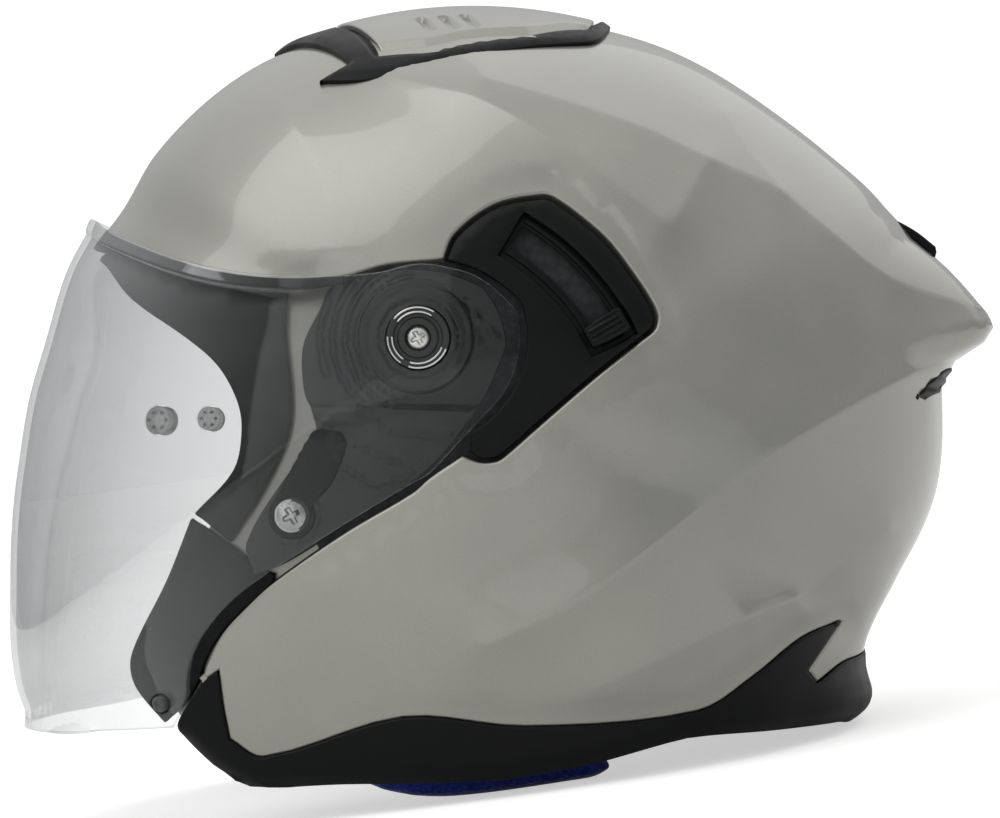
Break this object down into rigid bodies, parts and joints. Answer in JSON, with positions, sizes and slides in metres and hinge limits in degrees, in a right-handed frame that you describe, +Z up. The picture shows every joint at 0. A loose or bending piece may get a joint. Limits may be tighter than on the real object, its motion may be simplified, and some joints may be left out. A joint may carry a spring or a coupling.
{
  "type": "open face motorcycle helmet",
  "caption": "Open face motorcycle helmet with a long clear visor on side pivots, drop-down sun visor with side slider, sliding crown vent, rear spoiler, padded liner and ratchet chin strap.",
  "frame": {"origin": "centre of the bounding box's base; z = 0 is the surface the helmet stands on, leaning back 7.8 degrees on its neck pads and rear rim", "axes": "+X to the wearer's left, +Y to the back, -Y the face, +Z up"},
  "size_m": [0.2532, 0.3518, 0.2657],
  "materials": {
    "shell_paint": "satin metallic silver-beige paint under clear coat",
    "black_plastic": "moulded satin black",
    "mechanism_plastic": "moulded dark grey",
    "gasket_rubber": "matt dark grey rubber",
    "visor_clear": "clear polycarbonate, gloss",
    "sun_visor_smoke": "smoke grey polycarbonate, gloss",
    "liner_foam": "black moulded foam, matt",
    "liner_fabric": "brushed black knit",
    "blue_fabric": "deep blue knit",
    "webbing": "black woven webbing",
    "steel": "bright zinc plated",
    "latch_plastic": "moulded red"
  },
  "bodies": {
    "shell": {"outer_shell": "shell_paint", "eps_liner": "liner_foam", "crown_pad": "liner_fabric", "neck_roll": "liner_fabric", "lower_trim": "black_plastic", "eye_port_gasket": "gasket_rubber", "rear_exhaust": "black_plastic", "top_vent_frame": "black_plastic", "sun_visor_pin_left": "steel", "sun_visor_pin_right": "steel", "base_plate_left": "mechanism_plastic", "base_plate_right": "mechanism_plastic", "pivot_screw_left": "steel", "pivot_screw_right": "steel", "base_screw_left": "steel", "base_screw_right": "steel", "side_cover_left": "black_plastic", "side_cover_right": "black_plastic", "cheek_trim_left": "gasket_rubber", "cheek_trim_right": "gasket_rubber", "rear_vent_left": "black_plastic", "rear_vent_right": "black_plastic", "cheek_pad_left": "liner_fabric", "cheek_pad_right": "liner_fabric", "neck_pad_left": "blue_fabric", "neck_pad_right": "blue_fabric", "strap_left": "webbing", "strap_right": "webbing", "strap_pad_left": "liner_fabric", "strap_pad_right": "liner_fabric", "strap_anchor_left": "steel", "strap_anchor_right": "steel", "ratchet_tongue": "mechanism_plastic", "buckle_body": "steel", "buckle_pin": "steel"},
    "visor": {"visor_lens": "visor_clear", "visor_lock_ring_left": "mechanism_plastic", "visor_lock_ring_right": "mechanism_plastic", "pinlock_pin_left": "mechanism_plastic", "pinlock_pin_right": "mechanism_plastic", "visor_stud_left": "black_plastic", "visor_stud_right": "black_plastic"},
    "sun_visor": {"sun_visor_lens": "sun_visor_smoke", "slider_knob": "black_plastic", "sun_visor_arm_left": "mechanism_plastic", "sun_visor_arm_right": "mechanism_plastic"},
    "vent_cover": {"top_vent_cover": "shell_paint"},
    "release_left": {"release_lever_left": "black_plastic"},
    "release_right": {"release_lever_right": "black_plastic"},
    "buckle_latch": {"buckle_lever": "latch_plastic"}
  },
  "joints": [
    {"name": "visor_hinge", "type": "hinge", "parent": "shell", "child": "visor", "pos_m": [0, -0.01971, 0.14974], "axis": [-1, 0, 0], "range_deg": [0, 52]},
    {"name": "sun_visor_hinge", "type": "hinge", "parent": "shell", "child": "sun_visor", "pos_m": [0, -0.03789, 0.11287], "axis": [1, 0, 0], "range_deg": [0, 25.5]},
    {"name": "vent_slide", "type": "hinge", "parent": "shell", "child": "vent_cover", "pos_m": [0, -0.0102, 0.09394], "axis": [1, 0, 0], "range_deg": [0, 1.7]},
    {"name": "release_left_hinge", "type": "hinge", "parent": "shell", "child": "release_left", "pos_m": [0.112, -0.06763, 0.09908], "axis": [1, 0, 0], "range_deg": [0, 8], "stiffness_Nm_per_rad": 0.06},
    {"name": "release_right_hinge", "type": "hinge", "parent": "shell", "child": "release_right", "pos_m": [-0.112, -0.06763, 0.09908], "axis": [1, 0, 0], "range_deg": [0, 8], "stiffness_Nm_per_rad": 0.06},
    {"name": "buckle_latch_hinge", "type": "hinge", "parent": "shell", "child": "buckle_latch", "pos_m": [-0.025, -0.04296, 0.0095], "axis": [0, 0.9907, -0.1357], "range_deg": [0, 20], "stiffness_Nm_per_rad": 0.05}
  ]
}
